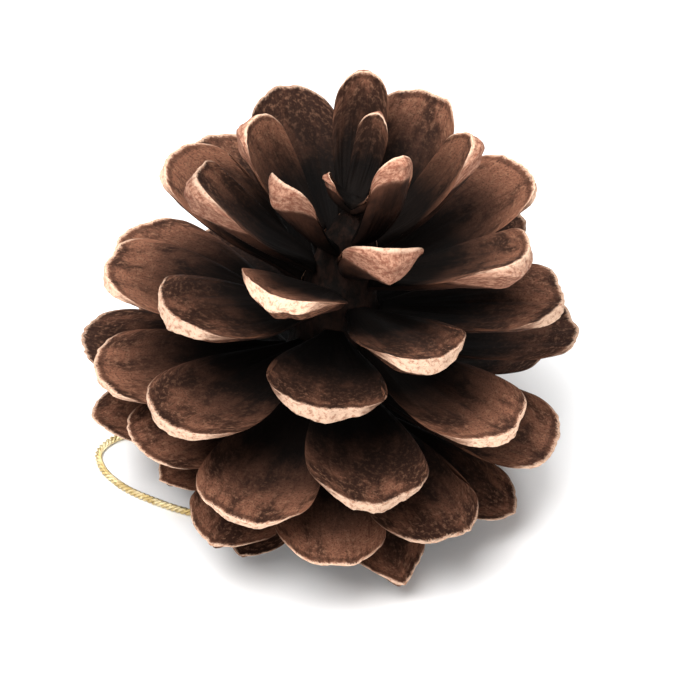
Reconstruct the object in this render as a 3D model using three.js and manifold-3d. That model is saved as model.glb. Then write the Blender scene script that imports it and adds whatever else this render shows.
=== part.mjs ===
// A small open pine cone that stands on its base, with a loop of gold cord for hanging it up.
// Millimetres, +Z up, with the origin at the middle of the stalk's cut foot. The cone is built
// around its own upright axis and then leaned a little.
import * as THREE from "three";
import { mergeVertices } from "three/addons/utils/BufferGeometryUtils.js";
import Module from "manifold-3d";

// Driving dimensions, in millimetres and degrees
const GOLDEN_ANGLE = 137.508; // each scale sits this far round from the one below it
const OPEN_SCALES = 55;
const FIRST_AZIMUTH = -94; // of the lowest open scale; 0 is the front and + is to the right
const WIDEST_RADIUS = 26; // of the scale tips
const WIDEST_LEVEL = -2.8; // height of the widest tips above the middle of the cone
const CROWN_HEIGHT = 35; // from the widest level to the top of the egg shape
const BASE_DEPTH = 17.6; // from the widest level to its bottom
const MIDDLE_HEIGHT = 16.7; // of the middle of the cone above the surface
const LEAN = 8; // the whole cone leans to the right
const SETTLE = 1.55; // a scale this near the surface, or below it, bends until it rests on it
const BOW = -0.8; // the axis curves back by this much, to the left, at its top
const WIDEST_SCALE = 12.4;
const PLATE_THICKNESS = 1; // of a scale, before its thick end
const SEAT_GAP = 0.3; // between a scale's root and the axis
const STALK_RADIUS = 2.6;
const BASAL_SCALES = 24;
const APEX_SCALES = [
  { azimuth: 162, width: 3.4, reach: 5.2, height: 28 },
  { azimuth: -78, width: 2.6, reach: 3.2, height: 23.6 },
  { azimuth: 50, width: 2.6, reach: 3, height: 23.2 },
];
const CORD_DIAMETER = 0.8;
const CORD_SIDES = 8;
const CORD_STEPS = 56;

// How far the end of a scale bends up from its straight line, from the lowest scale, 0, to the highest, 1
const BEND_BY_GROWTH = [[0, 5], [0.45, 3], [0.65, -5], [0.82, -6], [0.9, 6], [1, 13]];

// Scales that grew a little off the rule: degrees round, and how far the tip is outwards and upwards
const STRAYED = {
  1: [-6, 0, 0], 3: [-15, 0, 0.8], 6: [-3, -3, 0.2], 8: [0, 1.2, 0], 13: [6, 0.5, 0.6], 19: [-6, -2.8, 1.5],
  21: [-5, -0.5, 0], 24: [-3, 0, 0], 27: [-6, -0.8, 0.2], 29: [-5, 0, 0.6], 32: [-5, 0.4, -1],
  34: [-3, 0, -1.4], 40: [3, 0, -2], 42: [-4, 0, -0.8], 44: [0, 0, 1.4], 46: [7, 0, -0.8],
  47: [0, 1.8, 0.8], 49: [6, 0, 0], 50: [5, 0, 0], 51: [13, -1.4, -1.8], 52: [7, -1.6, 1],
  55: [-12, -1.8, 1.2],
};

const radians = THREE.MathUtils.degToRad;

/** A number from -1 to 1 that looks random but is the same each time. */
function unevenness(number, salt) {
  const wave = Math.sin(number * 12.9898 + salt * 78.233) * 43758.5453;
  return 2 * (wave - Math.floor(wave)) - 1;
}

// The upright cone: its axis is the line x = y = 0
/** The value at a place on a line of straight stretches, given as [place, value] corners. */
function onStretches(corners, place) {
  if (place <= corners[0][0]) return corners[0][1];
  for (let i = 1; i < corners.length; i += 1) {
    const [start, atStart] = corners[i - 1];
    const [end, atEnd] = corners[i];
    if (place < end) return THREE.MathUtils.mapLinear(place, start, end, atStart, atEnd);
  }
  return corners.at(-1)[1];
}

/** The axis is thick at the base of the cone and thins out towards the crown. */
function axisRadius(height) {
  return onStretches([[-10.2, 4.5], [1, 4.4], [8, 3.8], [13, 2.9], [17, 1.8], [18.6, 1]], height);
}

/** The measures of one open scale, in the plane through the axis and its tip. */
function scalePlan(number) {
  const growth = (number - 1) / (OPEN_SCALES - 1); // 0 for the lowest scale, 1 for the highest
  const egg = -47 + 104 * growth + 12 * growth ** 6;
  const level = radians(egg + 0.8 * unevenness(number, 1));
  const depth = level > 0 ? CROWN_HEIGHT : BASE_DEPTH;
  const rootHeight = -9 + 15 * growth + 11 * growth ** 2;
  const narrowBelow = 6 * Math.max(0, 1 - growth / 0.38) ** 1.3;
  const narrowAbove = 7.6 * Math.max(0, 2 * growth - 1) ** 3.2;
  const width = WIDEST_SCALE - narrowBelow - narrowAbove;
  const [strayRound, strayOut, strayUp] = STRAYED[number] ?? [0, 0, 0];
  const azimuth = FIRST_AZIMUTH - GOLDEN_ANGLE * (number - 1) + strayRound;
  return {
    width: width * (1 + 0.03 * unevenness(number, 2)),
    azimuth: radians(azimuth + 1.2 * unevenness(number, 3)),
    thickness: Math.min(1, 0.72 + 0.8 * growth),
    twist: radians(3 * unevenness(number, 4)),
    root: new THREE.Vector2(axisRadius(rootHeight - 0.8) + SEAT_GAP, rootHeight),
    tip: new THREE.Vector2(
      WIDEST_RADIUS * Math.cos(level) * (1 + 0.02 * unevenness(number, 5)) + strayOut,
      WIDEST_LEVEL + depth * Math.sin(level) + strayUp,
    ),
    bend: radians(onStretches(BEND_BY_GROWTH, growth)),
    point: 0.55 * (1 - THREE.MathUtils.smoothstep(growth, 0.19, 0.3)),
    dish: THREE.MathUtils.lerp(0.09, 0.32, THREE.MathUtils.smoothstep(growth, 0.5, 0.9)),
  };
}

/** The middle line of a scale, seen from the side: out from the axis, then bending upwards. */
function middleLine(plan) {
  const chord = plan.tip.clone().sub(plan.root);
  const rootAngle = chord.angle() > Math.PI ? chord.angle() - 2 * Math.PI : chord.angle();
  const reach = 0.5 * chord.length();
  const control = new THREE.Vector2(
    plan.root.x + reach * Math.cos(rootAngle - plan.bend),
    plan.root.y + reach * Math.sin(rootAngle - plan.bend),
  );
  return new THREE.QuadraticBezierCurve(plan.root, control, plan.tip);
}

/** One cross step of a scale: the closed profile at across, from -1 at one edge to 1 at the other. */
function scaleProfile(plan, line, across) {
  const half = plan.width / 2;
  const length = line.getLength();
  const edge = Math.abs(across);
  const rim = 1 - 0.27 * THREE.MathUtils.lerp(1 - Math.sqrt(1 - edge ** 2), edge, plan.point);
  const size = plan.thickness * plan.width;
  const lip = 0.1 * size * (1 - 0.45 * edge ** 2);
  const keel = size * (0.03 + 0.17 * (1 - edge));
  const stations = [
    [0, 0.75, 1], [0.34, 0.25, 1], [0.68, 0, 1], [1, 0.1, 1], [0.99, 0.1 - lip, 0.98],
    [1 - (0.3 * plan.width) / length, 0.1 - lip - keel, 0.9],
    [0.55, -PLATE_THICKNESS - 0.3 * keel, 0.97], [0.28, -PLATE_THICKNESS, 1], [0, -0.75, 1],
  ];
  return stations.map(([share, rise, narrowing]) => {
    const along = share * rim;
    const spread = Math.sin((Math.PI / 2) * Math.min(1, along / 0.72)) ** 1.3;
    const side = across * narrowing * THREE.MathUtils.lerp(1.25, half, spread);
    const dish = plan.dish * half * edge ** 2 * along;
    const spot = line.getPoint(along);
    const heading = line.getTangent(along);
    const upright = Math.min(1, along / 0.2);
    const normal = new THREE.Vector2(-heading.y * upright, THREE.MathUtils.lerp(1, heading.x, upright));
    normal.normalize();
    const lift = rise + dish + Math.tan(plan.twist) * side * along;
    // Outwards at azimuth 0 is -Y
    return new THREE.Vector3(side, -spot.x - normal.x * lift, spot.y + normal.y * lift);
  });
}

/** Turns rings of points into one closed mesh: the rings are joined, and both ends are capped. */
function closedStrip(rings) {
  const count = rings[0].length;
  const positions = rings.flat().flatMap((point) => point.toArray());
  const faces = [];
  for (let ring = 0; ring < rings.length - 1; ring += 1) {
    for (let i = 0; i < count; i += 1) {
      const next = (i + 1) % count;
      const a = ring * count + i;
      const b = ring * count + next;
      faces.push(a, b, a + count, b, b + count, a + count);
    }
  }
  const last = (rings.length - 1) * count;
  for (let i = 0; i < (count - 1) / 2 - 1; i += 1) {
    const [a, b, c, d] = [i, i + 1, count - 2 - i, count - 1 - i];
    faces.push(a, c, b, a, d, c);
    faces.push(last + a, last + b, last + c, last + a, last + c, last + d);
  }
  const top = (count - 1) / 2;
  faces.push(top - 1, top + 1, top, last + top - 1, last + top, last + top + 1);
  const geometry = new THREE.BufferGeometry();
  geometry.setAttribute("position", new THREE.Float32BufferAttribute(positions, 3));
  geometry.setIndex(faces);
  return geometry;
}

/** From the upright cone to the standing one: bowed, leaned, and the stalk's foot at the origin. */
function standPoint(point) {
  point.x += BOW * (Math.max(0, point.z) / CROWN_HEIGHT) ** 2;
  point.applyAxisAngle(new THREE.Vector3(0, 1, 0), radians(LEAN));
  point.x += MIDDLE_HEIGHT * Math.tan(radians(LEAN));
  point.z += MIDDLE_HEIGHT;
  return point;
}

function standGeometry(geometry) {
  const places = geometry.getAttribute("position");
  const point = new THREE.Vector3();
  for (let i = 0; i < places.count; i += 1) {
    standPoint(point.fromBufferAttribute(places, i));
    places.setXYZ(i, point.x, point.y, point.z);
  }
  return geometry;
}

/** A whole scale on the upright cone. */
function scaleShape(plan) {
  const line = middleLine(plan);
  const columns = [-1, -0.7, -0.36, 0, 0.36, 0.7, 1];
  const rings = columns.map((across) => scaleProfile(plan, line, across));
  return closedStrip(rings).rotateZ(plan.azimuth);
}

/** An open scale. The lowest ones bend a little until they rest on the surface. */
function openScale(number) {
  const plan = scalePlan(number);
  let geometry = standGeometry(scaleShape(plan));
  for (let tries = 0; tries < 3; tries += 1) {
    geometry.computeBoundingBox();
    const lowest = geometry.boundingBox.min.z;
    if (lowest > SETTLE) break;
    plan.tip.y -= lowest;
    geometry = standGeometry(scaleShape(plan));
  }
  return geometry;
}

// The pieces that are joined from several shapes
const wasm = await Module();
wasm.setup();

function solidOf(geometry) {
  const bare = geometry.clone();
  bare.deleteAttribute("normal");
  bare.deleteAttribute("uv");
  const merged = mergeVertices(bare, 1e-4);
  const vertProperties = merged.getAttribute("position").array;
  const triVerts = new Uint32Array(merged.index.array);
  return new wasm.Manifold(new wasm.Mesh({ numProp: 3, vertProperties, triVerts }));
}

function geometryOf(solid) {
  const mesh = solid.getMesh();
  const geometry = new THREE.BufferGeometry();
  geometry.setAttribute("position", new THREE.BufferAttribute(mesh.vertProperties, 3));
  geometry.setIndex(new THREE.BufferAttribute(mesh.triVerts, 1));
  return geometry;
}

/** A round body about the upright axis, from (radius, height) points that start and end on it. */
function turned(outline, sides) {
  const points = outline.map(([radius, height]) => new THREE.Vector2(radius, height));
  return new THREE.LatheGeometry(points, sides).rotateX(Math.PI / 2);
}

/** The woody axis, with the cut stalk below it. The cut is flat on the surface. */
function axisGeometry() {
  const outline = [
    [0, -20], [STALK_RADIUS, -20], [STALK_RADIUS, -12.2], [4.5, -10.2], [4.4, 1],
    [3.8, 8], [2.9, 13], [1.8, 17], [1, 18.6], [0, 18.9],
  ];
  const standing = standGeometry(turned(outline, 16));
  const above = new THREE.BoxGeometry(100, 100, 100).translate(0, 0, 50);
  return geometryOf(solidOf(standing).intersect(solidOf(above)));
}

/** The small shut scales under the cone: low rhombic points in a spiral over a shallow dish. */
function basalGeometry() {
  const inner = STALK_RADIUS + SEAT_GAP;
  const dish = turned([
    [inner, -12.4], [inner, -13.6], [5.6, -13.8], [8, -13.4], [8.5, -13], [8, -12.6], [5.2, -12.4],
    [inner, -12.4],
  ], 24);
  let solid = solidOf(dish);
  for (let number = 1; number <= BASAL_SCALES; number += 1) {
    const share = number / BASAL_SCALES;
    const radius = THREE.MathUtils.lerp(8, inner + 1.4, share ** 0.8);
    const height = -13.7 + 0.4 * (radius / 8) ** 3;
    const size = THREE.MathUtils.lerp(3.4, 1.9, share);
    const point = new THREE.OctahedronGeometry(1);
    point.scale(0.62 * size, 0.5 * size, 0.28 * size);
    point.rotateX(-0.3 * (radius / 8));
    point.translate(0, -radius, height);
    point.rotateZ(radians(FIRST_AZIMUTH + GOLDEN_ANGLE * number));
    solid = solid.add(solidOf(point));
  }
  return standGeometry(geometryOf(solid));
}

/** The crown's innermost scales stayed small. They stand on a short core on top of the axis. */
function apexGeometry() {
  let solid = solidOf(turned([[0, 19.2], [0.9, 19.2], [0.8, 20.6], [0, 21]], 8));
  for (const { azimuth, width, reach, height } of APEX_SCALES) {
    const plan = {
      width,
      azimuth: radians(azimuth),
      thickness: 0.9,
      twist: 0,
      root: new THREE.Vector2(0.2, 20),
      tip: new THREE.Vector2(reach, height),
      bend: radians(12),
      point: 0,
      dish: 0.35,
    };
    solid = solid.add(solidOf(scaleShape(plan)));
  }
  return standGeometry(geometryOf(solid));
}

// The hanging cord leaves the base beside the stalk, lies on the surface in a loop, and goes back in
const CORD_ROUTE = [
  [-4.0, 1.5, 2.5], [-4.7, 1.9, 1.7], [-6.0, 2.6, 0.9], [-7.9, 3.7, 0.46], [-10.8, 5.3, 0.42],
  [-14.0, 6.6, 0.42], [-17.4, 7.1, 0.42], [-20.4, 6.2, 0.42], [-22.1, 3.9, 0.42], [-21.6, 1, 0.42],
  [-19.4, -1.9, 0.42], [-16.3, -4.1, 0.42], [-12.8, -5.9, 0.42], [-9.0, -7.0, 0.42], [-4.9, -8.0, 0.42],
  [-0.6, -8.0, 0.42], [3.6, -7.0, 0.42], [7.0, -5.0, 0.42], [8.9, -2.0, 0.42], [8.5, 1.1, 0.42],
  [6.6, 2.9, 0.46], [4.7, 2.7, 0.8], [3.7, 1.8, 1.3],
];

function cordGeometry() {
  const path = new THREE.CatmullRomCurve3(CORD_ROUTE.map((spot) => new THREE.Vector3(...spot)));
  const section = new THREE.Shape();
  for (let side = 0; side < CORD_SIDES; side += 1) {
    const turn = ((side + 0.5) / CORD_SIDES) * 2 * Math.PI;
    const reach = CORD_DIAMETER / 2;
    if (side === 0) section.moveTo(reach * Math.cos(turn), reach * Math.sin(turn));
    else section.lineTo(reach * Math.cos(turn), reach * Math.sin(turn));
  }
  section.closePath();
  return new THREE.ExtrudeGeometry(section, { steps: CORD_STEPS, extrudePath: path });
}

const wood = new THREE.MeshStandardMaterial({ color: 0x6b4330, roughness: 0.8 });
const darkWood = new THREE.MeshStandardMaterial({ color: 0x2c1a13, roughness: 0.9 });
const weatheredWood = new THREE.MeshStandardMaterial({ color: 0x7d6755, roughness: 0.9 });
const gold = new THREE.MeshStandardMaterial({ color: 0xcfa23c, roughness: 0.35, metalness: 1 });

const cone = new THREE.Group();

function addPiece(name, geometry, material) {
  const mesh = new THREE.Mesh(geometry, material);
  mesh.name = name;
  cone.add(mesh);
}

addPiece("axis_with_stalk", axisGeometry(), darkWood);
addPiece("basal_scales", basalGeometry(), weatheredWood);
for (let number = 1; number <= OPEN_SCALES; number += 1) {
  addPiece(`scale_${String(number).padStart(2, "0")}`, openScale(number), wood);
}
addPiece("apex_scales", apexGeometry(), wood);
addPiece("hanging_cord", cordGeometry(), gold);

export default cone;
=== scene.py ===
# %% [markdown]
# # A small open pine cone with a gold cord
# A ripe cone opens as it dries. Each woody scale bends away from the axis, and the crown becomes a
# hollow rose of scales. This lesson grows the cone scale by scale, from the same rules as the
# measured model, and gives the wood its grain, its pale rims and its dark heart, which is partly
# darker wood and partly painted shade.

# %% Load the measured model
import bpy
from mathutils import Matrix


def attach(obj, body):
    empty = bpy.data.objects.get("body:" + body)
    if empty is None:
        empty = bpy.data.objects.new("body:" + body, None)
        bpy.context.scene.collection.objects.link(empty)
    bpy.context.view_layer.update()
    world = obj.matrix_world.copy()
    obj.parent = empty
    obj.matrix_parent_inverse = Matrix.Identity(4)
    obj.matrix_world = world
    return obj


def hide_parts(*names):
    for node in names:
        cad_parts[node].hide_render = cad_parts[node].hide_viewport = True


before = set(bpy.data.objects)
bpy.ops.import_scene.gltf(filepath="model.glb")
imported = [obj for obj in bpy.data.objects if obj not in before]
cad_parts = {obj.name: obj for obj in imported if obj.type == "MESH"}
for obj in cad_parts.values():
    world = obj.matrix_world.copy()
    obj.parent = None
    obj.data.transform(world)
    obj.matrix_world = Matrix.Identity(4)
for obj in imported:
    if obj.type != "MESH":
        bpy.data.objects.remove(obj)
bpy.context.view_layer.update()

from types import SimpleNamespace

import bpy
import numpy as np
from mathutils import Vector

print("pieces in the measured model:", len(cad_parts))

# %% [markdown]
# ## The camera
# The cone is seen from the front and from well above, through a long lens, so that its near and far
# scales keep nearly the same size. A long lens far away is used rather than an orthographic camera,
# because it keeps the little perspective that a real lens has.

# %% The camera
VIEW_ELEVATION = np.radians(38.4)
VIEW_DISTANCE = 0.686
VIEW_CENTRE = Vector((0.0034, 0.0, 0.0190))

camera_data = bpy.data.cameras.new("camera")
camera_data.lens = 350
camera_data.clip_start, camera_data.clip_end = 0.01, 20
camera = bpy.data.objects.new("camera", camera_data)
bpy.context.scene.collection.objects.link(camera)
bpy.context.scene.camera = camera
camera.location = VIEW_CENTRE + VIEW_DISTANCE * Vector((0, -np.cos(VIEW_ELEVATION), np.sin(VIEW_ELEVATION)))
camera.rotation_euler = (np.pi / 2 - VIEW_ELEVATION, 0, 0)
print("width of the view in metres:", round(VIEW_DISTANCE * 36 / camera_data.lens, 4))

# %% [markdown]
# ## From arrays to a mesh
# Every piece here is a grid of points, worked out as one numpy array. This helper puts such a grid
# into a mesh. Its sides are told apart by the volume that they enclose: if that is negative, the
# faces look inwards, and they are turned round.

# %% From arrays to a mesh
MM = 0.001


def turned_outwards(points, faces):
    """Faces as given or reversed: the sum of a . (b x c) over all triangles is positive outwards."""
    corners = points[faces]
    split = np.concatenate([corners[:, [0, 1, 2]], corners[:, [0, 2, 3]]])
    volume = np.einsum("ij,ij->i", split[:, 0], np.cross(split[:, 1], split[:, 2])).sum()
    return faces if volume > 0 else faces[:, ::-1]


def grid_faces(rows, columns, wrap_rows=False):
    """Four-cornered faces between neighbouring points of a grid whose columns go round and close."""
    row = np.arange(rows if wrap_rows else rows - 1)[:, None]
    column = np.arange(columns)[None, :]
    below, beside = (row + 1) % rows, (column + 1) % columns
    square = np.stack([
        row * columns + column, row * columns + beside,
        below * columns + beside, below * columns + column,
    ], -1)
    return square.reshape(-1, 4)


def make_piece(name, points, faces, finish, values=None):
    """A mesh object at the origin from points in millimetres, none of them below the surface.
    Faces whose last two corners are the same become triangles. values holds one array for each
    named attribute of the points."""
    points = np.maximum(points, (-np.inf, -np.inf, 0))
    faces = turned_outwards(points, faces)
    mesh = bpy.data.meshes.new(name)
    three = faces[:, 2] == faces[:, 3]
    three_first = faces[:, 0] == faces[:, 1]
    rows = [f[:3] if a else (f[1:] if b else f) for f, a, b in zip(faces.tolist(), three, three_first)]
    mesh.from_pydata((points * MM).tolist(), [], rows)
    mesh.polygons.foreach_set("use_smooth", np.ones(len(rows), bool))
    for key, array in (values or {}).items():
        kind, field = ("FLOAT", "value") if array.ndim == 1 else ("FLOAT_VECTOR", "vector")
        attribute = mesh.attributes.new(key, kind, "POINT")
        attribute.data.foreach_set(field, array.astype(np.float32).ravel())
    mesh.materials.append(finish)
    piece = bpy.data.objects.new(name, mesh)
    bpy.context.scene.collection.objects.link(piece)
    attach(piece, "root")
    return piece


# %% [markdown]
# ## Node trees written as sums
# A finish is easier to read as arithmetic than as a list of nodes. A Strand wraps one socket, and
# sums, differences and products of Strands add Math nodes. Every other node comes from the one method
# `Finish.node`, which sets the node's own settings first, because they decide which sockets it has.


# %% Node trees written as sums
class Strand:
    """A value, colour or vector that flows through a finish."""

    def __init__(self, finish, socket):
        self.finish, self.socket = finish, socket

    def _math(self, operation, first, second):
        return self.finish.node("ShaderNodeMath", {"operation": operation}, {0: first, 1: second})

    def __add__(self, other):
        return self._math("ADD", self, other)

    def __sub__(self, other):
        return self._math("SUBTRACT", self, other)

    def __rsub__(self, other):
        return self._math("SUBTRACT", other, self)

    def __mul__(self, other):
        return self._math("MULTIPLY", self, other)

    __radd__, __rmul__ = __add__, __mul__


class Finish:
    """A material whose surface is one Principled shader."""

    def __init__(self, name, **constants):
        self.material = bpy.data.materials.new(name)
        self.material.use_nodes = True
        self.tree = self.material.node_tree
        self.shader = self.tree.nodes["Principled BSDF"]
        for socket, value in constants.items():
            self.shader.inputs[socket.replace("_", " ")].default_value = value

    def node(self, kind, settings=None, inputs=None, output=0):
        """Adds a node: its settings first, then its sockets by name or place, as values or Strands."""
        made = self.tree.nodes.new(kind)
        for key, value in (settings or {}).items():
            setattr(made, key, value)
        for key, value in (inputs or {}).items():
            named = [s for s in made.inputs if s.enabled and s.name == key]
            socket = made.inputs[key] if isinstance(key, int) else named[0]
            if isinstance(value, Strand):
                self.tree.links.new(value.socket, socket)
            else:
                socket.default_value = value
        shown = [s for s in made.outputs if s.enabled]
        return Strand(self, shown[output] if isinstance(output, int) else made.outputs[output])

    def attribute(self, name, output="Fac"):
        return self.node("ShaderNodeAttribute", {"attribute_name": name}, output=output)

    def stretched(self, vector, scale):
        return self.node("ShaderNodeVectorMath", {"operation": "MULTIPLY"}, {0: vector, 1: scale})

    def noise(self, vector, scale, detail=2.0, roughness=0.5):
        return self.node(
            "ShaderNodeTexNoise", None,
            {"Vector": vector, "Scale": scale, "Detail": detail, "Roughness": roughness}, "Fac",
        )

    def rise(self, value, low, high):
        """0 below low, 1 above high, and a smooth climb between them. It falls where low > high."""
        return self.node(
            "ShaderNodeMapRange", {"interpolation_type": "SMOOTHSTEP"},
            {"Value": value, "From Min": low, "From Max": high},
        )

    def mix(self, share, first, second, blend="MIX"):
        return self.node(
            "ShaderNodeMix", {"data_type": "RGBA", "blend_type": blend},
            {"Factor": share, "A": first, "B": second},
        )

    def bump(self, height, strength, distance):
        inputs = {"Height": height, "Strength": strength, "Distance": distance}
        return self.node("ShaderNodeBump", None, inputs)

    def feed(self, **strands):
        for socket, strand in strands.items():
            self.tree.links.new(strand.socket, self.shader.inputs[socket.replace("_", " ")])
        return self.material


def tint(red, green, blue):
    """A colour as seen on a screen, 0 to 255, turned into the light that it stands for."""
    shown = np.array([red, green, blue]) / 255
    light = np.where(shown <= 0.04045, shown / 12.92, ((shown + 0.055) / 1.055) ** 2.4)
    return (*light.tolist(), 1.0)


# %% [markdown]
# ## The cord's finish
# The cord is a thin gift cord: three strands of metallised thread, twisted together. Gold is a
# metal, so its colour is its reflection. Fine threads run along each strand as a bump, and the
# grooves between the strands are darker, because dust and shade collect there.


# %% The cord's finish
def gold_finish():
    gold = Finish("gold_thread", Metallic=1.0, Specular_IOR_Level=0.5)
    around = gold.attribute("around")
    groove = gold.attribute("groove")
    wear = gold.noise(gold.node("ShaderNodeTexCoord", output="Object"), 900.0)
    bright = gold.mix(gold.rise(wear, 0.35, 0.65), tint(218, 194, 136), tint(246, 232, 190))
    colour = gold.mix(gold.rise(groove, 0.5, 1.0) * 0.5, bright, tint(140, 108, 58))
    threads = gold.node("ShaderNodeMath", {"operation": "SINE"}, {0: around * 70.0})
    return gold.feed(
        Base_Color=colour,
        Roughness=0.26 + 0.22 * wear,
        Normal=gold.bump(threads * 0.5 + 0.5, 0.35, 0.00004),
    )


gold_thread = gold_finish()

# %% [markdown]
# ## The hanging cord
# Both ends of the cord go into the base beside the stalk, and the loop lies on the surface.
# Only its left end shows beside the cone. A curve with a round bevel would give a smooth wire, so
# the twisted strands are a surface carried along the route.

# %% The cord's route
CORD_DIAMETER = 0.0008
cord_route = np.array([
    (-0.0040, 0.0015, 0.0025), (-0.0047, 0.0019, 0.0017), (-0.0060, 0.0026, 0.0009),
    (-0.0079, 0.0037, 0.00046), (-0.0108, 0.0053, 0.00042), (-0.0140, 0.0066, 0.00042),
    (-0.0174, 0.0071, 0.00042), (-0.0204, 0.0062, 0.00042), (-0.0221, 0.0039, 0.00042),
    (-0.0216, 0.0010, 0.00042), (-0.0194, -0.0019, 0.00042), (-0.0163, -0.0041, 0.00042),
    (-0.0128, -0.0059, 0.00042), (-0.0090, -0.0070, 0.00042), (-0.0049, -0.0080, 0.00042),
    (-0.0006, -0.0080, 0.00042), (0.0036, -0.0070, 0.00042), (0.0070, -0.0050, 0.00042),
    (0.0089, -0.0020, 0.00042), (0.0085, 0.0011, 0.00042), (0.0066, 0.0029, 0.00046),
    (0.0047, 0.0027, 0.0008), (0.0037, 0.0018, 0.0013),
])


def smooth_route(route, steps=60):
    """A curve through all points: between each two it is a cubic whose end directions come from
    their neighbours, weighted by the square root of the distances."""
    points = np.vstack([2 * route[0] - route[1], route, 2 * route[-1] - route[-2]])
    a, b, c, d = points[:-3], points[1:-2], points[2:-1], points[3:]
    before, between, after = (
        np.sqrt(np.linalg.norm(q - p, axis=1))[:, None] for p, q in ((a, b), (b, c), (c, d))
    )
    leave = ((b - a) / before - (c - a) / (before + between)) * between + c - b
    arrive = ((d - c) / after - (d - b) / (between + after)) * between + c - b
    t = np.linspace(0, 1, steps, endpoint=False)[:, None, None]
    curve = (
        (2 * t**3 - 3 * t**2 + 1) * b + (t**3 - 2 * t**2 + t) * leave
        + (3 * t**2 - 2 * t**3) * c + (t**3 - t**2) * arrive
    )
    return np.vstack([curve.transpose(1, 0, 2).reshape(-1, 3), route[-1:]])


def evenly_spaced(curve, count):
    """The same curve with its points at equal distances along it."""
    reach = np.concatenate([[0], np.cumsum(np.linalg.norm(np.diff(curve, axis=0), axis=1))])
    even = np.linspace(0, reach[-1], count)
    return np.stack([np.interp(even, reach, curve[:, i]) for i in range(3)], 1), even


cord_line, cord_reach = evenly_spaced(smooth_route(cord_route), 900)

# %% The twisted cord
CORD_STRANDS = 3
CORD_SIDES = 36
CORD_TWIST = 0.0017  # the cord's length for one full turn of its strands


def twisted_cord(line, reach, diameter):
    """Rings round the line. The strands are touching circles of radius s whose centres lie d from
    the line, so at an angle p off a strand the radius is d cos p + sqrt(s^2 - d^2 sin^2 p)."""
    strand = diameter / 2 / (1 + 1 / np.sin(np.pi / CORD_STRANDS))
    offset = diameter / 2 - strand
    heading = np.gradient(line, axis=0)
    heading /= np.linalg.norm(heading, axis=1, keepdims=True)
    beside = np.cross(heading, (0, 0, 1))
    beside /= np.linalg.norm(beside, axis=1, keepdims=True)
    over = np.cross(beside, heading)
    angle = np.linspace(0, 2 * np.pi, CORD_SIDES, endpoint=False)[None, :]
    turn = angle - 2 * np.pi * reach[:, None] / CORD_TWIST
    third = 2 * np.pi / CORD_STRANDS
    off = (turn + third / 2) % third - third / 2
    radius = offset * np.cos(off) + np.sqrt(np.maximum(strand**2 - (offset * np.sin(off)) ** 2, 0))
    rings = (
        line[:, None]
        + (radius * np.cos(angle))[..., None] * beside[:, None]
        + (radius * np.sin(angle))[..., None] * over[:, None]
    )
    groove = np.abs(off) / (third / 2)
    return rings, groove, off


cord_rings, cord_groove, cord_around = twisted_cord(cord_line, cord_reach, CORD_DIAMETER)
ring_count, ring_size = cord_rings.shape[:2]
cord_points = np.vstack([cord_rings.reshape(-1, 3), cord_line[:1], cord_line[-1:]]) / MM
cord_faces = grid_faces(ring_count, ring_size)
around_ring = np.arange(ring_size)
end_caps = [
    np.stack([base + around_ring, base + (around_ring + 1) % ring_size] + 2 * [np.full(ring_size, tip)], 1)
    for base, tip in ((0, ring_count * ring_size), ((ring_count - 1) * ring_size, ring_count * ring_size + 1))
]
end_caps[0] = end_caps[0][:, [1, 0, 2, 3]]
end_values = np.zeros(2)
hanging_cord = make_piece(
    "gold_hanging_cord", cord_points, np.vstack([cord_faces, *end_caps]), gold_thread,
    {
        "groove": np.concatenate([cord_groove.ravel(), end_values]),
        "around": np.concatenate([cord_around.ravel(), end_values]),
    },
)
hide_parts("hanging_cord")
print("faces of the cord:", len(hanging_cord.data.polygons))

# %% [markdown]
# ## How a cone grows
# Each new scale sits a golden angle further round than the one before, so no two ever line up, and
# the eye sees spirals. The tips lie on an egg: wide and flat below, tall above. The same few rules
# made the measured model, so each scale here lies where its solid is. All lengths are millimetres.

# %% How a cone grows
GOLDEN_ANGLE = 137.508
OPEN_SCALES = 55
FIRST_AZIMUTH = -94
WIDEST_RADIUS = 26
WIDEST_LEVEL = -2.8
CROWN_HEIGHT = 35
BASE_DEPTH = 17.6
MIDDLE_HEIGHT = 16.7
LEAN = np.radians(8)
SETTLE = 1.55
BOW = -0.8
WIDEST_SCALE = 12.4
PLATE_THICKNESS = 1
SEAT_GAP = 0.3
STALK_RADIUS = 2.6
BASAL_SCALES = 24
# Scales that grew a little off the rule: degrees round, and how far the tip is outwards and upwards
STRAYED = {
    1: (-6, 0, 0), 3: (-15, 0, 0.8), 6: (-3, -3, 0.2), 8: (0, 1.2, 0), 13: (6, 0.5, 0.6), 19: (-6, -2.8, 1.5),
    21: (-5, -0.5, 0), 24: (-3, 0, 0), 27: (-6, -0.8, 0.2), 29: (-5, 0, 0.6), 32: (-5, 0.4, -1),
    34: (-3, 0, -1.4), 40: (3, 0, -2), 42: (-4, 0, -0.8), 44: (0, 0, 1.4), 46: (7, 0, -0.8),
    47: (0, 1.8, 0.8), 49: (6, 0, 0), 50: (5, 0, 0), 51: (13, -1.4, -1.8), 52: (7, -1.6, 1),
    55: (-12, -1.8, 1.2),
}


def unevenness(number, salt):
    """A number from -1 to 1 that looks random but is the same each time."""
    wave = np.sin(number * 12.9898 + salt * 78.233) * 43758.5453
    return 2 * (wave - np.floor(wave)) - 1


def between(value, low, high):
    """0 below low, 1 above high, smooth between them."""
    t = np.clip((value - low) / (high - low), 0, 1)
    return t * t * (3 - 2 * t)


def axis_radius(height):
    """The axis is thick at the base of the cone and thins out towards the crown."""
    return np.interp(height, [-10.2, 1, 8, 13, 17, 18.6], [4.5, 4.4, 3.8, 2.9, 1.8, 1])


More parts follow.
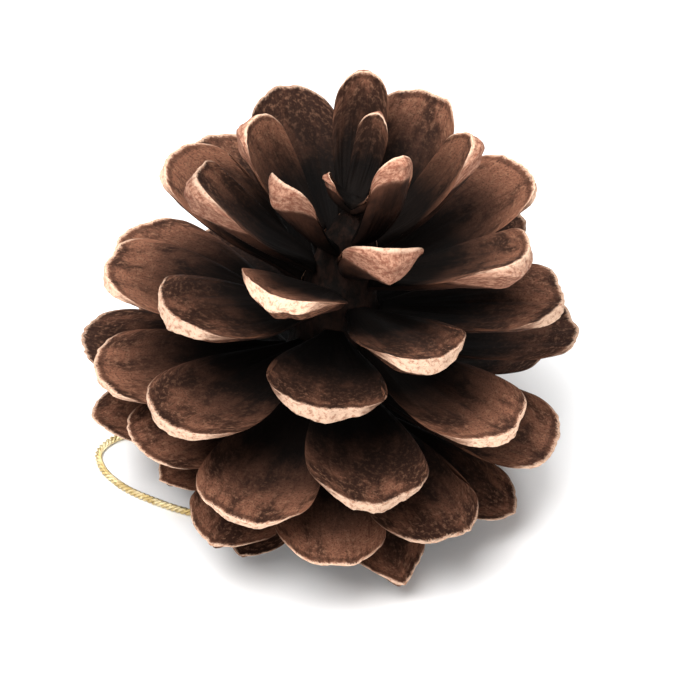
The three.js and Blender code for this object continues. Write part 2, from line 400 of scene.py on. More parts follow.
def scale_plan(number):
    """The measures of one open scale, in the plane through the axis and its tip."""
    growth = (number - 1) / (OPEN_SCALES - 1)
    egg = -47 + 104 * growth + 12 * growth**6
    level = np.radians(egg + 0.8 * unevenness(number, 1))
    depth = CROWN_HEIGHT if level > 0 else BASE_DEPTH
    root_height = -9 + 15 * growth + 11 * growth**2
    narrow_below = 6 * max(0, 1 - growth / 0.38) ** 1.3
    narrow_above = 7.6 * max(0, 2 * growth - 1) ** 3.2
    stray_round, stray_out, stray_up = STRAYED.get(number, (0, 0, 0))
    azimuth = FIRST_AZIMUTH - GOLDEN_ANGLE * (number - 1) + stray_round
    return SimpleNamespace(
        number=number,
        growth=growth,
        width=(WIDEST_SCALE - narrow_below - narrow_above) * (1 + 0.03 * unevenness(number, 2)),
        azimuth=np.radians(azimuth + 1.2 * unevenness(number, 3)),
        thickness=min(1, 0.72 + 0.8 * growth),
        twist=np.radians(3 * unevenness(number, 4)),
        root=np.array([axis_radius(root_height - 0.8) + SEAT_GAP, root_height]),
        tip=np.array([
            WIDEST_RADIUS * np.cos(level) * (1 + 0.02 * unevenness(number, 5)) + stray_out,
            WIDEST_LEVEL + depth * np.sin(level) + stray_up,
        ]),
        bend=np.radians(np.interp(growth, [0, 0.45, 0.65, 0.82, 0.9, 1], [5, 3, -5, -6, 6, 13])),
        point=0.55 * (1 - between(growth, 0.19, 0.3)),
        dish=0.09 + 0.23 * between(growth, 0.5, 0.9),
    )


def stand(points):
    """From the upright cone to the standing one: bowed, leaned, its stalk's foot at the origin."""
    x = points[..., 0] + BOW * (np.maximum(0, points[..., 2]) / CROWN_HEIGHT) ** 2
    z = points[..., 2]
    across = x * np.cos(LEAN) + z * np.sin(LEAN) + MIDDLE_HEIGHT * np.tan(LEAN)
    height = z * np.cos(LEAN) - x * np.sin(LEAN) + MIDDLE_HEIGHT
    return np.stack([across, points[..., 1], height], -1)


print("height of the highest tip:", round(float(scale_plan(OPEN_SCALES).tip[1]), 1), "mm")

# %% [markdown]
# ## The form of one scale
# A scale is a woody spoon. It leaves the axis as a narrow stem, spreads like a fan, and ends in a
# thick blunt edge, the part that was outside while the cone was shut. That edge has an upper facet,
# a ridge across it, and a lower facet that runs back underneath. The form is a closed section
# along the scale's length, carried from one side edge to the other.


# %% The middle line of a scale
def middle_line(plan):
    """A parabola from root to tip: its control point lies half the chord from the root, bend below
    the chord's direction."""
    chord = plan.tip - plan.root
    angle = np.arctan2(chord[1], chord[0]) - plan.bend
    control = plan.root + 0.5 * np.hypot(*chord) * np.array([np.cos(angle), np.sin(angle)])
    return plan.root, control, plan.tip


def on_line(line, along):
    """Place and direction at the share along of the line: (1-t)^2 a + 2t(1-t) b + t^2 c."""
    a, b, c = line
    t = along[..., None]
    heading = (1 - t) * (b - a) + t * (c - b)
    heading = heading / np.linalg.norm(heading, axis=-1, keepdims=True)
    return (1 - t) ** 2 * a + 2 * t * (1 - t) * b + t**2 * c, heading


def line_length(line):
    spots, _ = on_line(line, np.linspace(0, 1, 201))
    return float(np.linalg.norm(np.diff(spots, axis=0), axis=1).sum())


# %% Section measures that change across a scale
def lip_height(plan, edge, taper=0.45):
    """Height of the upper facet, in the middle a tenth of the scale's size, and in the crown nearly
    twice that. It is less at the sides."""
    share = 0.1 + 0.06 * between(plan.growth, 0.5, 0.8)
    return share * plan.thickness * plan.width * (1 - taper * edge**2)


def rim_outline(plan, edge):
    """How far along the middle line the rim lies: an arc of an ellipse, 1 - 0.27 (1 - sqrt(1 - e^2)),
    that turns into a point, 1 - 0.27 e, on the lowest scales."""
    return 1 - 0.27 * ((1 - plan.point) * (1 - np.sqrt(1 - edge**2)) + plan.point * edge)


def full_keel(plan, edge):
    """Depth of the lower facet, most in the middle, which gives the end its rhombic face."""
    return plan.thickness * plan.width * (0.03 + 0.17 * (1 - edge))


def flattening(plan):
    """0 on the lowest scales and in the crown, and 1 between, where wide scales grew thin and even."""
    return between(plan.growth, 0.2, 0.3) * between(plan.growth, 0.88, 0.83)


def keel_depth(plan, edge):
    """The lower facet as it is seen: shallower and rounder where the scale is flattened."""
    shallow = plan.thickness * plan.width * (0.03 + 0.07 * (1 - edge**2))
    return full_keel(plan, edge) + flattening(plan) * (shallow - full_keel(plan, edge))


def place_scale(plan, line, across, share, rise, narrowing, rim):
    """Points of a scale on the upright cone. share is how far along the middle line, before the
    rim rounds it off, rise is the height above it, and narrowing pulls the section in."""
    edge, half = np.abs(across), plan.width / 2
    along = share * rim
    spread = np.sin(np.pi / 2 * np.minimum(1, np.maximum(0, along) / 0.72)) ** 1.3
    side = across * narrowing * (1.25 + (half - 1.25) * spread)
    spot, heading = on_line(line, along)
    upright = np.minimum(1, along / 0.2)
    normal = np.stack([-heading[..., 1] * upright, 1 + (heading[..., 0] - 1) * upright], -1)
    normal /= np.linalg.norm(normal, axis=-1, keepdims=True)
    lift = rise + plan.dish * half * edge**2 * along + np.tan(plan.twist) * side * along
    out = spot[..., 0] + normal[..., 0] * lift
    turn = plan.azimuth
    return np.stack([
        side * np.cos(turn) + out * np.sin(turn),
        side * np.sin(turn) - out * np.cos(turn),
        spot[..., 1] + normal[..., 1] * lift,
    ], -1)


# %% [markdown]
# ## Resting on the surface
# The lowest scales of the standing cone bend until they lie on the surface. The measured model
# finds that bend with a plain form of seven sections, so the same plain form finds it here.


# %% Resting on the surface
def plain_scale(plan):
    """The measured model's form: nine corners of the section at seven places across."""
    line = middle_line(plan)
    across = np.array([-1, -0.7, -0.36, 0, 0.36, 0.7, 1])[:, None]
    edge = np.abs(across)
    lip, keel = lip_height(plan, edge), full_keel(plan, edge)
    back = 1 - 0.3 * plan.width / line_length(line)
    share = np.array([0, 0.34, 0.68, 1, 0.99, back, 0.55, 0.28, 0])
    base = np.array([0.75, 0.25, 0, 0.1, 0.1, 0.1, -PLATE_THICKNESS, -PLATE_THICKNESS, -0.75])
    rise = base - lip * [0, 0, 0, 0, 1, 1, 0, 0, 0] - keel * [0, 0, 0, 0, 0, 1, 0.3, 0, 0]
    narrowing = np.array([1, 1, 1, 1, 0.98, 0.9, 0.97, 1, 1])
    return place_scale(plan, line, across, share, rise, narrowing, rim_outline(plan, edge))


def settled_plan(number):
    """The plan of an open scale, bent down or up until it rests, if it comes near the surface."""
    plan = scale_plan(number)
    for _ in range(3):
        lowest = stand(plain_scale(plan))[..., 2].min()
        if lowest > SETTLE:
            break
        plan.tip[1] -= lowest
    return plan


scale_plans = [settled_plan(number) for number in range(1, OPEN_SCALES + 1)]
resting = [p.number for p in scale_plans if stand(plain_scale(p))[..., 2].min() < 0.05]
print("scales that rest on the surface:", resting)

# %% [markdown]
# ## Roughness that belongs to the wood
# Wood isn't wavy in a regular way, so its small relief comes from noise: random numbers on a grid,
# smoothly joined. The noise lives on the scale's own surface, in millimetres, so that wrinkles fan
# out with the scale, however it is turned.


# %% Roughness that belongs to the wood
def wood_noise(x, y, salt):
    """Smooth noise from -1 to 1: corners of unit squares get fixed random values, and between them
    they are joined by the curve 3t^2 - 2t^3."""
    def corner(i, j):
        wave = np.sin(i * 127.1 + j * 311.7 + salt * 74.7) * 43758.5453
        return 2 * (wave - np.floor(wave)) - 1

    i, j = np.floor(x), np.floor(y)
    u, v = x - i, y - j
    u, v = u * u * (3 - 2 * u), v * v * (3 - 2 * v)
    near = corner(i, j) * (1 - u) + corner(i + 1, j) * u
    far = corner(i, j + 1) * (1 - u) + corner(i + 1, j + 1) * u
    return near * (1 - v) + far * v

# %% The section of a scale
UPPER_POINTS, UNDER_POINTS = 56, 56


def section_table(plan, length):
    """The closed section in steps. Each row is (share, base, lip, keel, narrowing, round): the
    height is base - lip * lip_height - keel * keel_depth, and round counts the faces passed: 0 at
    the root, 1 at the rim, 2 at the ridge, 3 behind the lower facet and 4 back at the root.
    Corners are rounded by quadratic curves."""
    back = 1 - 0.3 * plan.width / length
    set_back = lip_height(plan, 0) * (0.9 - 0.75 * between(plan.growth, 0.3, 0.55))
    share = np.linspace(0, 1, UPPER_POINTS - 4) ** 0.85
    upper_curve = np.polyfit([0, 0.34, 0.68, 1], [0.75, 0.25, 0, 0.1], 3)
    upper = np.stack([share, np.polyval(upper_curve, share)] + [0 * share] * 2 + [0 * share + 1, share], 1)
    corners = np.array([
        [1, 0.1, 0, 0, 1, 1], [1 - set_back / length, 0.1, 1, 0, 0.98, 2], [back, 0.1, 1, 1, 0.9, 3],
        [0.55, -PLATE_THICKNESS, 0, 0.3, 0.97, 3.4], [0.28, -PLATE_THICKNESS, 0, 0, 1, 3.7],
        [0, -0.75, 0, 0, 1, 4],
    ])
    radii = [0.16, 0.2, 0.6, 1.5, 1.5]
    counts = [8, 10, 6, 4]
    flat = np.stack([
        corners[:, 0] * length,
        corners[:, 1] - corners[:, 2] * lip_height(plan, 0) - corners[:, 3] * keel_depth(plan, 0),
    ], 1)
    before = upper[-3]
    rows, start = [upper[:-1]], None
    for i, radius in enumerate(radii):
        corner, after = corners[i], corners[i + 1]
        reach_back = np.hypot(*(flat[i] - flat[i - 1])) if i else 2 * radius
        reach_on = np.hypot(*(flat[i + 1] - flat[i]))
        enter = corner + (before - corner) * min(0.45, radius / max(reach_back, 1e-6)) if i else upper[-1]
        leave = corner + (after - corner) * min(0.45, radius / reach_on)
        t = np.linspace(0, 1, 5)[:, None]
        if start is not None:
            straight = np.linspace(0, 1, counts[i - 1] + 1, endpoint=False)[1:, None]
            rows.append(start + (enter - start) * straight)
        rows.append((1 - t) ** 2 * enter + 2 * t * (1 - t) * corner + t**2 * leave if i else
                    corner + (leave - corner) * t[1:])
        start, before = leave, corner
    last = UPPER_POINTS + UNDER_POINTS - sum(map(len, rows))
    rows.append(start + (corners[-1] - start) * np.linspace(0, 1, last + 1)[1:, None])
    return np.vstack(rows)


sample_table = section_table(scale_plans[30], 22)
print("points in the section of a scale:", len(sample_table))

# %% [markdown]
# ## The surface of one scale
# The plain form gets what makes it wood. The upper face keeps the two shallow beds where the winged
# seeds lay, with a low ridge between them, and fine wrinkles that fan out from the stem. The rim is
# a little ragged. The end facets are rough, with a small boss below the middle of the ridge. No two
# scales are the same, because each takes its own part of the noise.

# %% The surface of one scale
ACROSS_POINTS = 74


def scale_surface(plan):
    """The grid of a scale's points on the upright cone, one closed section for each step across,
    and the attributes that its finish reads."""
    line = middle_line(plan)
    length, half, number = line_length(line), plan.width / 2, plan.number
    table = section_table(plan, length)[None, :, :]
    share, base, lip_share, keel_share, narrowing, turn = (table[..., i] for i in range(6))
    across = 0.9995 * np.sin(np.pi / 2 * np.linspace(-1, 1, ACROSS_POINTS))[:, None]
    edge = np.abs(across)
    middle_rise = base - lip_share * lip_height(plan, 0) - keel_share * keel_depth(plan, 0)
    flat = np.stack([share * length, middle_rise], -1)
    steps = np.linalg.norm(np.diff(flat, axis=1), axis=-1)
    run = np.concatenate([np.zeros((1, 1)), np.cumsum(steps, axis=1)], 1)
    side = across * half

    rim_noise = 0.022 * wood_noise(side * 0.4, 3.3, number) + 0.006 * wood_noise(side * 1.9, 7.1, number)
    rim = rim_outline(plan, edge) + rim_noise * between(share, 0.6, 1)
    lip = lip_height(plan, edge, 0.86) * (1 + 0.14 * wood_noise(side * 0.7, 1.7, number))
    lip = lip + 0.035 * wood_noise(side * 2.2, 4.9, number) * (1 - edge**2)
    keel = keel_depth(plan, edge) * (1 + 0.1 * wood_noise(side * 0.8, 9.7, number))
    rise = base - lip_share * lip - keel_share * keel

    upper = between(turn, 1.02, 0.98)
    facets = between(turn, 1.0, 1.25) * between(turn, 3.3, 2.9)
    under = between(turn, 2.9, 3.2)
    # Seed beds, the ridge between them, and the fold that the ridge becomes towards the rim
    bed = np.exp(-(((edge - 0.42) / 0.27) ** 2 + ((share - 0.42) / 0.27) ** 2))
    fold = np.exp(-((across - 0.05 * wood_noise(share * 3, 2.2, number)) / 0.045) ** 2)
    wrinkles = (
        0.060 * wood_noise(across * 7, run * 0.16, number + 0.3)
        + 0.040 * wood_noise(across * 15, run * 0.22, number + 0.6)
        + 0.022 * wood_noise(across * 30, run * 0.30, number + 0.9)
    )
    swell = 0.22 * wood_noise(side * 0.16 + 5, run * 0.12, number + 1.2)
    crown = 0.075 * half * (0.5 - edge**2) * share
    rise = rise + upper * (
        -0.22 * bed - 0.10 * fold * between(share, 0.3, 0.5) * between(share, 0.98, 0.8)
        + wrinkles * between(share, 0.05, 0.3)
    )
    rise = rise + swell * between(share, 0.15, 0.8) + crown
    # Rough end facets with a boss under the middle of the ridge
    coarse = 0.075 * wood_noise(side * 1.6, turn * 5, number + 2.1)
    rough = coarse + 0.045 * wood_noise(side * 4.2, turn * 11, number + 2.4)
    boss = np.exp(-((side / 1.1) ** 2 + ((turn - 2.32) / 0.24) ** 2))
    sharp = 1 - flattening(plan)
    push = facets * (rough + 0.34 * sharp * boss)
    share = share + push / length
    rise = rise - under * 0.09 * wood_noise(across * 9, run * 0.2, number + 3.3)
    rise = rise - 0.25 * sharp * facets * boss

    # The side edges are rounded: the section shrinks to its own middle height at both ends
    thin = np.sqrt(np.maximum(0, 1 - edge**9))
    lowest = (base - lip_share * lip - keel_share * keel).min(axis=1, keepdims=True)
    middle = 0.5 * lowest * between(share, 0.5, 0.9)
    middle = np.where(share < 2, middle * 0.6 - 0.2 * (1 - between(share, 0.5, 0.9)), 0)
    rise = middle + (rise - middle) * thin

    points = place_scale(plan, line, across, share, rise, narrowing, rim)
    full = np.broadcast_to
    shape = points.shape[:2]
    grain = np.stack([full(side, shape), full(run, shape), full(7.0 * number, shape)], -1)
    character = np.array([unevenness(number, 21), plan.growth, unevenness(number, 22)])
    values = {
        "round": full(turn, shape).ravel(),
        "across": full(across, shape).ravel(),
        "along": full(share, shape).ravel(),
        "boss": full(boss, shape).ravel(),
        "grain": grain.reshape(-1, 3),
        "character": np.tile(character, (shape[0] * shape[1], 1)),
    }
    return points, values


# %% Closing a scale
def scale_faces(rows, columns):
    """Faces between the sections, and at both side edges a strip that joins the upper half of the
    last section to its lower half."""
    i = np.arange(columns // 2 - 1)
    strip = np.stack([i, i + 1, columns - 2 - i, columns - 1 - i], 1)
    last = (rows - 1) * columns
    return np.vstack([grid_faces(rows, columns), strip, strip[:, ::-1] + last])


first_points, _ = scale_surface(scale_plans[0])
faces_of_scale = scale_faces(*first_points.shape[:2])
print("faces of one scale:", len(faces_of_scale))

# %% [markdown]
# ## The finish of the scales
# The upper face is blotched in chocolate and reddish brown and darkens towards the heart of the
# cone, partly because the wood is darker there and partly as painted shade from the scales above.
# Fine fibres run along it. A thin pale line marks the rim. The lip under it is cream with brown
# specks, and the end faces in the crown are tan, with a darker boss. The underside is dark, and
# nearly black towards the axis, partly darker wood and partly painted shade between the scales.
# Everything is painted by the attributes of the surface, because the pattern follows the scale's
# own shape.


# %% The finish of the scales
def scale_finish():
    wood = Finish("scale_wood", Specular_IOR_Level=0.09)
    turn, along, boss = wood.attribute("round"), wood.attribute("along"), wood.attribute("boss")
    edge = wood.node("ShaderNodeMath", {"operation": "ABSOLUTE"}, {0: wood.attribute("across")})
    grain = wood.attribute("grain", "Vector")
    character = wood.node("ShaderNodeSeparateXYZ", None, {0: wood.attribute("character", "Vector")}, "X")
    growth = wood.node("ShaderNodeSeparateXYZ", None, {0: wood.attribute("character", "Vector")}, "Y")

    fibres = wood.noise(wood.stretched(grain, (2.2, 0.28, 1.0)), 1.0, 4.0, 0.65)
    patches = wood.noise(wood.stretched(grain, (0.35, 0.22, 1.0)), 1.0, 4.0, 0.6)
    specks = wood.noise(wood.stretched(grain, (2.0, 1.7, 1.0)), 1.0, 3.0, 0.7)
    grit = wood.noise(wood.stretched(grain, (5.0, 4.2, 1.0)), 1.0, 2.0, 0.7)

    # The upper face: reddish brown near the rim, and darker step by step towards the heart: partly the
    # darker wood there, partly painted shade from the scales above, nearly black at the root
    upper = wood.mix(wood.rise(patches + 0.10 * character, 0.40, 0.60), tint(54, 33, 24), tint(116, 76, 58))
    upper = wood.mix(wood.rise(specks, 0.48, 0.66) * 0.70, upper, tint(140, 100, 78))
    upper = wood.mix(wood.rise(grit, 0.50, 0.64) * 0.60, upper, tint(42, 23, 15))
    upper = wood.mix(wood.rise(fibres, 0.52, 0.70) * 0.50, upper, tint(38, 21, 14))
    # Painted shade and darker wood towards the heart, by how far along the scale a point lies
    heart_wood_and_shade = along + 0.22 * (patches - 0.5)
    upper = wood.mix(wood.rise(heart_wood_and_shade, 0.98, 0.70) * 0.72, upper, tint(32, 18, 12))
    upper = wood.mix(wood.rise(heart_wood_and_shade, 0.80, 0.42) * 0.96, upper, tint(5, 3, 2))

    # The lip under the rim, cream in the middle and fading at the sides
    pale = wood.mix(wood.rise(specks, 0.46, 0.68), tint(222, 186, 160), tint(168, 124, 100))
    pale = wood.mix(wood.rise(grit, 0.56, 0.70) * 0.40, pale, tint(124, 82, 62))
    worn = wood.mix(wood.rise(specks, 0.40, 0.62), tint(120, 80, 60), tint(70, 43, 31))
    lip = wood.mix(wood.rise(edge + 0.5 * (patches - 0.5), 0.62, 0.92) * 0.85, pale, worn)

    # The open end faces of the crown: tan with reddish specks, and paler towards their outline
    face = wood.mix(wood.rise(specks, 0.38, 0.62), tint(182, 136, 112), tint(134, 86, 68))
    face = wood.mix(wood.rise(grit, 0.50, 0.64) * 0.6, face, tint(104, 62, 48))
    face = wood.mix(wood.rise(boss, 0.3, 0.8) * 0.4, face, tint(96, 56, 42))
    crown = wood.rise(growth, 0.80, 0.88)
    lip = wood.mix(crown * wood.rise(turn, 1.15, 1.5), lip, face)
    under_ridge = wood.mix(crown, wood.mix(wood.rise(specks, 0.4, 0.6), worn, tint(48, 29, 22)), face)
    facets = wood.mix(wood.rise(turn + 0.3 * (specks - 0.5), 1.96, 2.12), lip, under_ridge)

    # The underside, nearly black towards the axis: partly darker wood, partly painted shade between the
    # scales
    under = wood.mix(wood.rise(patches, 0.35, 0.65), tint(44, 27, 20), tint(74, 46, 34))
    under = wood.mix(wood.rise(fibres, 0.45, 0.7) * 0.5, under, tint(20, 13, 10))
    under = wood.mix(wood.rise(along, 0.85, 0.35) * 0.8, under, tint(8, 5, 4))

    # Along the rim the cream runs over the edge in specks, behind a thin dark crack
    ragged = along + 0.05 * (grit - 0.5) + 0.03 * (specks - 0.5)
    crack = wood.rise(ragged, 0.935, 0.955) * wood.rise(ragged, 0.985, 0.965) * wood.rise(edge, 0.9, 0.6)
    colour = wood.mix(crack * 0.55, upper, tint(38, 21, 15))
    colour = wood.mix(wood.rise(ragged, 0.975, 0.995) * wood.rise(edge, 0.99, 0.8) * 0.85, colour, pale)
    colour = wood.mix(wood.rise(turn, 1.0, 1.02), colour, facets)
    colour = wood.mix(wood.rise(turn, 2.96, 3.08), colour, under)
    # The side edges: worn brown near the rim and nearly black towards the axis, partly darker wood and partly
    # painted shade
    side = wood.rise(edge, 0.9988, 0.9993)
    colour = wood.mix(side, colour, wood.mix(wood.rise(along, 0.95, 0.6), worn, tint(14, 8, 6)))
    shade = 0.88 + 0.22 * character
    grey = wood.node("ShaderNodeCombineXYZ", None, {0: shade, 1: shade, 2: shade})
    colour = wood.mix(1.0, colour, grey, "MULTIPLY")

    relief = wood.bump(fibres * 0.4 + specks * 0.3 + grit * 0.3, 0.6, 0.00014)
    return wood.feed(Base_Color=colour, Roughness=0.68 + 0.22 * fibres, Normal=relief)


scale_wood = scale_finish()

# %% [markdown]
# ## Growing the open scales
# Each scale is a piece of its own, because each is a separate solid in the measured model, and it
# stands for that solid. The grid is first laid out on the upright cone and then leaned with it.

# %% Growing the open scales
for plan in scale_plans:
    points, values = scale_surface(plan)
    name = f"scale_{plan.number:02d}"
    piece = make_piece("woody_" + name, stand(points).reshape(-1, 3), faces_of_scale, scale_wood, values)
    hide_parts(name)
print("open scales:", OPEN_SCALES)

# %% [markdown]
# ## Bodies turned about the axis
# The axis, the dish under the cone and the core of the crown are round. A turned body is a stack of
# rings, closed at the poles by fans of triangles.


# %% Bodies turned about the axis
def turned_body(radius, height, sides, relief=None):
    """Rings of the given radii at the given heights. relief(angle, height) is added to the radius."""
    angle = np.linspace(0, 2 * np.pi, sides, endpoint=False)[None, :]
    radius, height = radius[:, None], height[:, None]
    out = radius + (relief(angle, height) if relief else 0) * np.ones_like(angle)
    return np.stack([out * np.sin(angle), -out * np.cos(angle), height + 0 * angle], -1)


def closed_rings(rings, bottom, top):
    """Points and faces of a stack of rings with a point at each end."""
    rows, sides = rings.shape[:2]
    points = np.vstack([rings.reshape(-1, 3), bottom, top])
    step = np.arange(sides)
    after = (step + 1) % sides
    low = np.stack([after, step] + 2 * [np.full(sides, rows * sides)], 1)
    base = (rows - 1) * sides
    high = np.stack([base + step, base + after] + 2 * [np.full(sides, rows * sides + 1)], 1)
    return points, np.vstack([grid_faces(rows, sides), low, high])


# %% [markdown]
# ## The axis and the stalk
# The heart of the cone is a tapering woody spindle. Under every scale it carries a small cushion,
# the tissue from which the scale grows, and between the cushions it is rough and nearly black. The
# stalk was cut off level with the surface, and the fresh cut is paler.


# %% The finish of the axis
def bark_finish(name, dark, light, cut):
    bark = Finish(name, Specular_IOR_Level=0.08)
    place = bark.node("ShaderNodeTexCoord", output="Object")
    rough = bark.noise(bark.stretched(place, (900.0, 900.0, 420.0)), 1.0, 5.0, 0.65)
    fine = bark.noise(place, 3400.0, 2.0)
    colour = bark.mix(bark.rise(rough, 0.38, 0.66), dark, light)
    colour = bark.mix(bark.rise(fine, 0.6, 0.75) * 0.4, colour, tint(20, 13, 10))
    if cut:
        height = bark.node("ShaderNodeSeparateXYZ", None, {0: place}, "Z")
        colour = bark.mix(bark.rise(height, 0.00022, 0.00008), colour, tint(150, 112, 82))
    return bark.feed(
        Base_Color=colour,
        Roughness=0.72 + 0.2 * rough,
        Normal=bark.bump(rough, 0.8, 0.0003),
    )


axis_bark = bark_finish("axis_bark", tint(12, 8, 6), tint(34, 21, 16), cut=True)


# %% The axis and the stalk
def seat_relief(angle, height):
    """Cushions 0.45 mm high and about 3 mm across under the roots, and a rough skin elsewhere."""
    relief = 0.12 * wood_noise(angle * 3.5, height * 1.1, 51) * np.sin(angle / 2) ** 0.1
    for plan in scale_plans:
        away = np.angle(np.exp(1j * (angle - plan.azimuth))) * axis_radius(plan.root[1])
        relief = relief + 0.45 * np.exp(-((away / 1.5) ** 2 + ((height - plan.root[1]) / 0.95) ** 2))
    return np.where(height > -10.5, relief, 0.2 * relief)


axis_height = np.concatenate([np.linspace(-12.0, 18.5, 190), [18.7, 18.82, 18.88]])
outer = np.interp(
    axis_height,
    [-12.2, -10.2, 1, 8, 13, 17, 18.6, 18.8, 18.9],
    [STALK_RADIUS, 4.5, 4.4, 3.8, 2.9, 1.8, 1, 0.6, 0.1],
)
spindle = stand(turned_body(outer, axis_height, 120, seat_relief))
# The stalk: the same ring slid down along the lean until it meets the surface, z = 0
stalk_top = spindle[0]
slide = np.array([np.sin(LEAN), 0, np.cos(LEAN)])
foot = stalk_top - slide * (stalk_top[:, 2:] / slide[2])
share_down = np.linspace(0, 1, 14)[:, None, None]
stalk = foot + (stalk_top - foot) * share_down[:-1]
rounded = foot.mean(0) + (foot - foot.mean(0)) * 0.93
axis_rings = np.concatenate([rounded[None], foot[None] + [0, 0, 0.12], stalk[1:], spindle])
axis_top = stand(np.array([[0, 0, 18.9]]))
axis_points, axis_faces = closed_rings(axis_rings, foot.mean(0, keepdims=True), axis_top)
axis_piece = make_piece("woody_axis_and_stalk", axis_points, axis_faces, axis_bark)
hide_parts("axis_with_stalk")
print("faces of the axis:", len(axis_faces))

# %% [markdown]
# ## The small shut scales below
# Round the stalk the scales never opened. Only their ends show: rhombic plates laid like tiles in
# a spiral, greyish from weather, each with a ridge across it and a dark boss. They are seen only
# from below, but the cone may be picked up and turned over.


# %% Rhombic plates
PLATE_SIDES, PLATE_RINGS = 40, 12


def rhombic_plate(size):
    """A plate whose outline is |x/a|^p + |y/b|^p = 1. Its face rises to a ridge along x with a boss
    in the middle, and its back is nearly flat."""
    a, b, c, power = 0.68 * size, 0.56 * size, 0.28 * size, 1.35
    angle = np.linspace(0, 2 * np.pi, PLATE_SIDES, endpoint=False)[None, :]
    reach = (np.abs(np.cos(angle)) ** power + np.abs(np.sin(angle)) ** power) ** (-1 / power)
    share = np.sin(np.pi / 2 * np.linspace(0.06, 1, PLATE_RINGS))[:, None]
    x, y = a * share * reach * np.cos(angle), b * share * reach * np.sin(angle)
    dome = np.sqrt(np.maximum(0, 1 - share**2.6))
    ridge = np.exp(-((y / (0.3 * b)) ** 2)) * (1 - share**2)
    boss = np.exp(-((x**2 + y**2) / (0.19 * size) ** 2))
    pit = np.exp(-((x**2 + y**2) / (0.08 * size) ** 2))
    face = -c * (0.72 * dome + 0.22 * ridge + 0.25 * boss - 0.1 * pit)
    back = 0.45 * c * dome
    front_rings = np.stack([x, y, face], -1)
    back_rings = np.stack([x, y, back + 0 * x], -1)[-2::-1]
    return np.concatenate([front_rings, back_rings]), np.concatenate([boss, 0 * boss[-2::-1]])


# %% The finish of the shut scales
def weathered_finish():
    plate = Finish("weathered_plates", Specular_IOR_Level=0.3)
    place = plate.node("ShaderNodeTexCoord", output="Object")
    boss = plate.attribute("boss")
    rim = plate.attribute("rim")
    cloud = plate.noise(place, 420.0, 3.0)
    grit = plate.noise(place, 2600.0, 3.0, 0.6)
    colour = plate.mix(plate.rise(cloud, 0.36, 0.64), tint(124, 100, 82), tint(162, 136, 112))
    colour = plate.mix(plate.rise(grit, 0.52, 0.70) * 0.75, colour, tint(66, 44, 34))
    colour = plate.mix(plate.rise(boss, 0.3, 0.75) * 0.7, colour, tint(58, 36, 28))
    colour = plate.mix(plate.rise(rim, 0.82, 0.97), colour, tint(46, 29, 23))
    return plate.feed(Base_Color=colour, Roughness=0.75 + 0.2 * grit, Normal=plate.bump(grit, 0.7, 0.00015))


weathered_plates = weathered_finish()

# %% The rosette of shut scales
inner_radius = STALK_RADIUS + SEAT_GAP
dish_outline = np.array([
    (inner_radius, -12.4), (inner_radius, -13.6), (5.6, -13.8), (8, -13.4),
    (8.5, -13), (8, -12.6), (5.2, -12.4),
])
dish_loop = evenly_spaced(
    np.column_stack([np.vstack([dish_outline, dish_outline[:1]]), np.zeros(8)]), 40
)[0][:-1]
dish_angle = np.linspace(0, 2 * np.pi, 120, endpoint=False)[:, None]
dish = np.stack([
    dish_loop[:, 0] * np.sin(dish_angle),
    -dish_loop[:, 0] * np.cos(dish_angle),
    dish_loop[:, 1] + 0 * dish_angle,
], -1)
rosette_points = [dish.reshape(-1, 3)]
rosette_faces = [turned_outwards(rosette_points[0], grid_faces(*dish.shape[:2], wrap_rows=True))]
rosette_boss, rosette_rim = [np.zeros(len(rosette_points[0]))], [np.ones(len(rosette_points[0]))]
for number in range(1, BASAL_SCALES + 1):
    share = number / BASAL_SCALES
    radius = 8 + (inner_radius + 1.4 - 8) * share**0.8
    size = 3.4 + (1.9 - 3.4) * share
    rings, boss = rhombic_plate(size)
    tip, tail = rings[0].mean(0, keepdims=True), rings[-1].mean(0, keepdims=True)
    points, faces = closed_rings(rings, tip, tail)
    tilt = -0.3 * (radius / 8)
    height = -13.7 + 0.4 * (radius / 8) ** 3
    y = points[:, 1] * np.cos(tilt) - points[:, 2] * np.sin(tilt) - radius
    z = points[:, 1] * np.sin(tilt) + points[:, 2] * np.cos(tilt) + height
    azimuth = np.radians(FIRST_AZIMUTH + GOLDEN_ANGLE * number)
    points = np.stack([
        points[:, 0] * np.cos(azimuth) - y * np.sin(azimuth),
        points[:, 0] * np.sin(azimuth) + y * np.cos(azimuth),
        z,
    ], -1)
    rosette_faces.append(turned_outwards(points, faces) + sum(map(len, rosette_points)))
    rosette_points.append(points)
    outline = np.sin(np.pi / 2 * np.linspace(0.06, 1, PLATE_RINGS))
    outline = np.repeat(np.concatenate([outline, np.ones(PLATE_RINGS - 1)]), PLATE_SIDES)
    rosette_boss.append(np.concatenate([boss.ravel(), [1, 0]]))
    rosette_rim.append(np.concatenate([outline, [0, 1]]))
rosette = make_piece(
    "rosette_of_shut_scales", stand(np.vstack(rosette_points)), np.vstack(rosette_faces), weathered_plates,
    {"boss": np.concatenate(rosette_boss), "rim": np.concatenate(rosette_rim)},
)
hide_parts("basal_scales")
print("lowest point of the rosette in mm:", round(min(v.co.z for v in rosette.data.vertices) / MM, 2))

# %% [markdown]
# ## The innermost scales of the crown
# At the very top the youngest scales stayed small and stand close together. They are made by the
# same rules as the open ones, only shorter and steeper, round a short core.


# %% The innermost scales of the crown
# Azimuth, width, reach and height of each
INNERMOST = [(162, 3.4, 5.2, 28), (-78, 2.6, 3.2, 23.6), (50, 2.6, 3, 23.2)]


def innermost_plan(order, azimuth, width, reach, height):
    return SimpleNamespace(
        number=OPEN_SCALES + order, growth=1.0, width=width, azimuth=np.radians(azimuth),
        thickness=0.9, twist=0.0, root=np.array([0.2, 20]), tip=np.array([reach, height]),
        bend=np.radians(12), point=0, dish=0.35,
    )


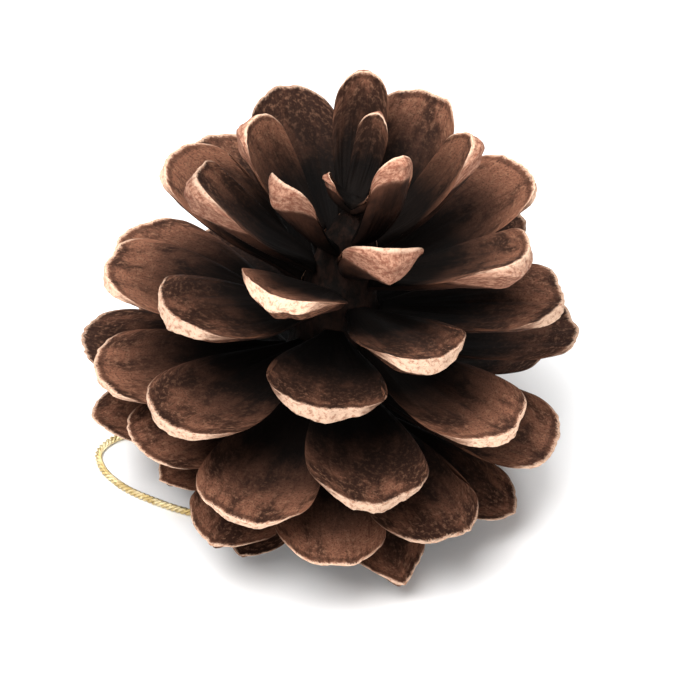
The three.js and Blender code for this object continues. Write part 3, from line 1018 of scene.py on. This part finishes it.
core_height = np.array([19.25, 19.4, 19.7, 20.0, 20.3, 20.6, 20.85, 20.96])
core_radius = np.array([0.7, 0.86, 0.9, 0.88, 0.85, 0.78, 0.4, 0.15])
core = turned_body(core_radius, core_height, 40)
core_points, core_faces = closed_rings(core, np.array([[0, 0, 19.2]]), np.array([[0, 0, 21]]))
apex_points, apex_faces = [core_points], [turned_outwards(core_points, core_faces)]
# The core takes along 0.3, so the finish of the scales paints it nearly black, as painted shade of the heart
apex_values = [{
    "round": np.full(len(core_points), 0.3), "across": np.zeros(len(core_points)),
    "along": np.full(len(core_points), 0.3), "boss": np.zeros(len(core_points)),
    "grain": core_points, "character": np.tile([0.0, 1.0, 0.0], (len(core_points), 1)),
}]
for order, measures in enumerate(INNERMOST, start=1):
    points, values = scale_surface(innermost_plan(order, *measures))
    points = points.reshape(-1, 3)
    apex_faces.append(turned_outwards(points, faces_of_scale) + sum(map(len, apex_points)))
    apex_points.append(points)
    apex_values.append(values)
apex = make_piece(
    "innermost_scales", stand(np.vstack(apex_points)), np.vstack(apex_faces), scale_wood,
    {key: np.concatenate([v[key] for v in apex_values]) for key in apex_values[0]},
)
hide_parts("apex_scales")
print("faces of the innermost scales:", len(apex.data.polygons))

# %% [markdown]
# ## The floor and the light
# The cone stands on a plain white floor. Soft light comes from all sides, with a larger, stronger
# panel above, in front and to the left, so that the pale rims catch it and the heart of the cone
# stays dark, together with the painted shade in the finish of the scales.


# %% The floor
def floor_finish():
    paper = Finish("floor_paper", Specular_IOR_Level=0.2)
    mottle = paper.noise(paper.node("ShaderNodeTexCoord", output="Object"), 60.0)
    return paper.feed(
        Base_Color=paper.mix(mottle, tint(240, 240, 240), tint(246, 246, 246)), Roughness=0.85 + 0.05 * mottle
    )


floor_mesh = bpy.data.meshes.new("floor")
floor_mesh.from_pydata([(-4, -4, 0), (4, -4, 0), (4, 4, 0), (-4, 4, 0)], [], [(0, 1, 2, 3)])
floor_mesh.materials.append(floor_finish())
floor = bpy.data.objects.new("floor", floor_mesh)
bpy.context.scene.collection.objects.link(floor)


# %% The light
def light_panel(name, place, size, power):
    """A square panel of light that faces the middle of the cone."""
    lamp = bpy.data.lights.new(name, "AREA")
    lamp.size, lamp.energy = size, power
    panel = bpy.data.objects.new(name, lamp)
    panel.location = place
    panel.rotation_euler = (VIEW_CENTRE - Vector(place)).to_track_quat("-Z", "Y").to_euler()
    bpy.context.scene.collection.objects.link(panel)


light_panel("main_panel", (-0.20, -0.32, 0.80), 0.60, 14.0)
light_panel("front_panel", (0.10, -0.95, 0.45), 0.40, 3.6)
light_panel("back_panel", (0.15, 0.55, 0.70), 0.45, 4.0)

world = bpy.data.worlds.new("world")
world.use_nodes = True
world.node_tree.nodes["Background"].inputs["Color"].default_value = (1, 1, 1, 1)
world.node_tree.nodes["Background"].inputs["Strength"].default_value = 0.34
bpy.context.scene.world = world
bpy.context.scene.view_settings.view_transform = "Standard"
